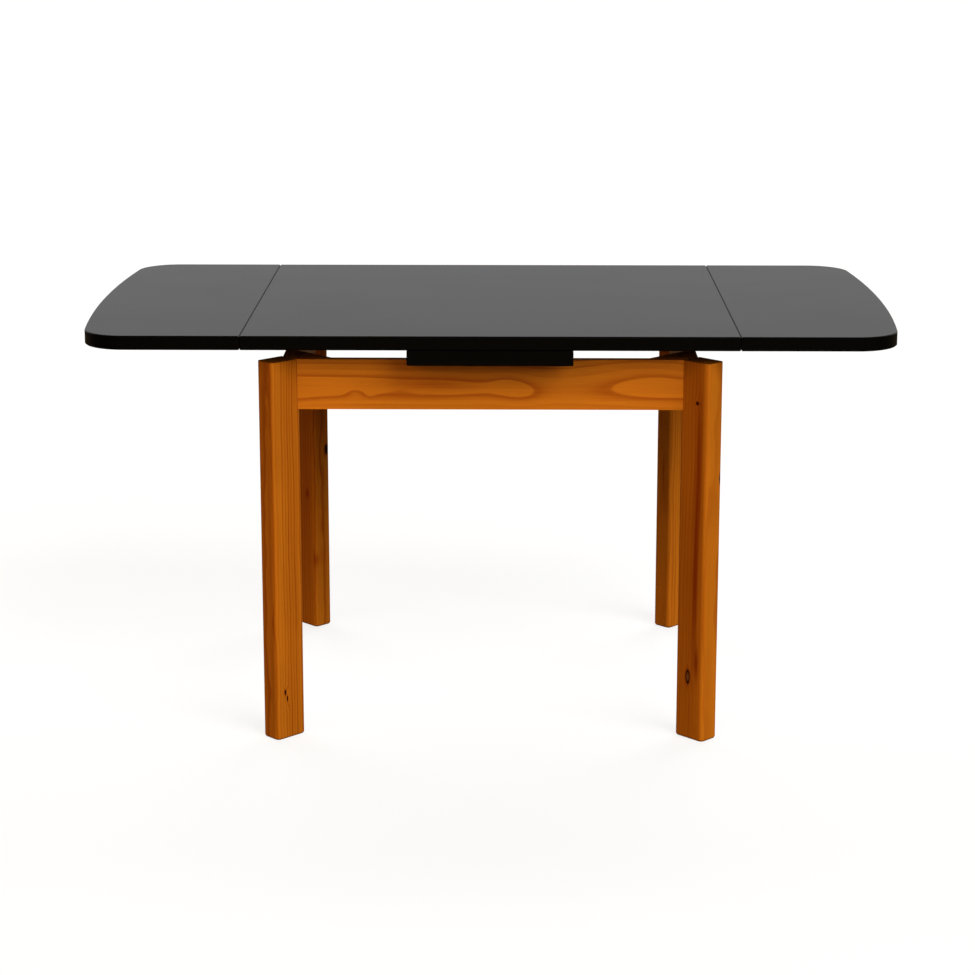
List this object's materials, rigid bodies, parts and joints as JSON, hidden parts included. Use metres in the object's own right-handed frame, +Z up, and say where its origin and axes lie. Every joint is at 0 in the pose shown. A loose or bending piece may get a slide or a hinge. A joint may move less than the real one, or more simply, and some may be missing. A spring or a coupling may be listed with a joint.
{
  "type": "draw-leaf extending table",
  "caption": "Draw-leaf dining table: a loose square-ended top on a centre board, a sliding leaf at each end, and square-set legs turned to the diagonal.",
  "frame": {"origin": "middle of the table's footprint, on the floor", "axes": "+X along the table's length, +Y across it towards the rear, +Z up; the table stands drawn out"},
  "size_m": [1.514, 0.82, 0.772],
  "materials": {
    "stained_pine": "honey-orange stained pine, satin lacquer",
    "black_lacquer": "black satin lacquer on board",
    "plain_beech": "plain sanded beech",
    "zinc_steel": "zinc-plated steel"
  },
  "bodies": {
    "frame": {"leg_front_left": "stained_pine", "leg_front_right": "stained_pine", "leg_rear_left": "stained_pine", "leg_rear_right": "stained_pine", "apron_front": "stained_pine", "apron_rear": "stained_pine", "end_rail_left": "stained_pine", "end_rail_right": "stained_pine", "corner_block_front_left": "stained_pine", "corner_block_front_right": "stained_pine", "corner_block_rear_left": "stained_pine", "corner_block_rear_right": "stained_pine", "corner_bolts": "zinc_steel", "corner_washers": "zinc_steel", "corner_nuts": "zinc_steel", "block_screws": "zinc_steel", "centre_board": "black_lacquer", "board_screws": "zinc_steel", "cleat_inner_front": "plain_beech", "cleat_inner_rear": "plain_beech", "cleat_middle_front": "plain_beech", "cleat_middle_rear": "plain_beech", "cleat_outer_front": "plain_beech", "cleat_outer_rear": "plain_beech", "cleat_screws": "zinc_steel"},
    "main_top": {"main_top": "black_lacquer", "peg_front": "plain_beech", "peg_rear": "plain_beech"},
    "leaf_left": {"leaf_left": "black_lacquer", "bar_left_front": "plain_beech", "bar_left_rear": "plain_beech", "stop_left_front": "plain_beech", "stop_left_rear": "plain_beech", "bar_screws_left": "zinc_steel", "stop_screws_left": "zinc_steel"},
    "leaf_right": {"leaf_right": "black_lacquer", "bar_right_front": "plain_beech", "bar_right_rear": "plain_beech", "stop_right_front": "plain_beech", "stop_right_rear": "plain_beech", "bar_screws_right": "zinc_steel", "stop_screws_right": "zinc_steel"}
  },
  "joints": [
    {"name": "main_top_lift", "type": "slide", "parent": "frame", "child": "main_top", "axis": [0, 0, 1], "range_m": [0, 0.029]},
    {"name": "leaf_left_slide", "type": "slide", "parent": "frame", "child": "leaf_left", "axis": [-0.996, 0, 0.0896], "range_m": [0, 0.012]},
    {"name": "leaf_right_slide", "type": "slide", "parent": "frame", "child": "leaf_right", "axis": [0.996, 0, 0.0896], "range_m": [0, 0.012]}
  ]
}
